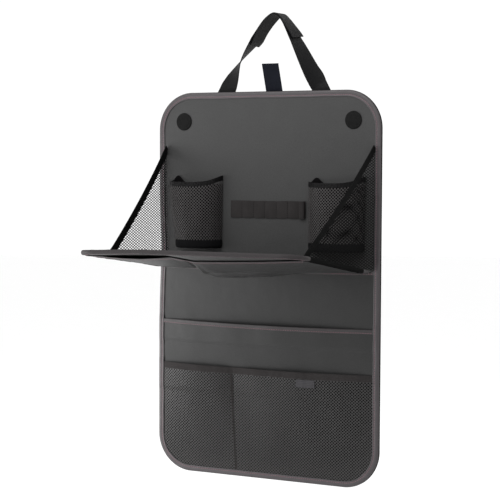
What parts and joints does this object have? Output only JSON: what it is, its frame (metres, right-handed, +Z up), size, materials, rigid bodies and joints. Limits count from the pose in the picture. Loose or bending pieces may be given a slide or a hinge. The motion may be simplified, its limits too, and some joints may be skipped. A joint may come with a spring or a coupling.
{
  "type": "car seat-back organiser with fold-down tray",
  "caption": "Hanging car seat-back organiser panel with bound edge, fold-down tray on mesh gussets, mesh cup pockets, flat pockets, a pen loop and a headrest strap.",
  "frame": {"origin": "middle of the webbing at the peak of the headrest strap, the point by which the organiser hangs", "axes": "+Z up, -Y towards the passenger sitting behind the seat, +X to the right as that passenger sees it; the tray is at its open rest position"},
  "size_m": [0.42, 0.3192, 0.7909],
  "materials": {
    "leather": "dark grey imitation leather, fine grain, low sheen",
    "binding": "taupe grey edge binding with mauve stitching",
    "backing": "plain black woven backing cloth",
    "board": "stiff dark board, unseen",
    "mesh": "open black knitted mesh",
    "elastic": "ribbed black elastic tape",
    "webbing": "black woven webbing",
    "fastener": "black hook and loop pile",
    "tab_cloth": "plain grey woven tab"
  },
  "bodies": {
    "panel": {"front_cover": "leather", "core_board": "board", "back_cloth": "backing", "edge_binding": "binding", "upper_pocket": "leather", "upper_pocket_hem": "leather", "middle_pocket": "leather", "middle_pocket_hem": "leather", "lower_mesh_pocket": "mesh", "lower_pocket_elastic": "elastic", "pocket_tab": "tab_cloth", "left_cup_mesh": "mesh", "left_cup_elastic": "elastic", "left_cup_base": "backing", "right_cup_mesh": "mesh", "right_cup_elastic": "elastic", "right_cup_base": "backing", "pen_loop_elastic": "elastic", "left_loop_dot": "fastener", "right_loop_dot": "fastener", "top_tab": "webbing", "left_strap": "webbing", "right_strap": "webbing", "left_gusset_mesh": "mesh", "left_gusset_tape": "elastic", "right_gusset_mesh": "mesh", "right_gusset_tape": "elastic", "tray_hinge_cloth": "leather"},
    "tray": {"tray_top_cover": "leather", "tray_board": "board", "tray_bottom_cover": "leather", "tray_binding": "binding", "tray_pocket": "leather", "left_hook_dot": "fastener", "right_hook_dot": "fastener"}
  },
  "joints": [
    {"name": "tray_fold", "type": "hinge", "parent": "panel", "child": "tray", "pos_m": [-0.018, -0.018, -0.4276], "axis": [-1, 0, 0], "range_deg": [0, 83.2], "deforming": ["left_cup_mesh", "left_cup_elastic", "left_cup_base", "right_cup_mesh", "right_cup_elastic", "right_cup_base", "left_gusset_mesh", "left_gusset_tape", "right_gusset_mesh", "right_gusset_tape"]}
  ]
}
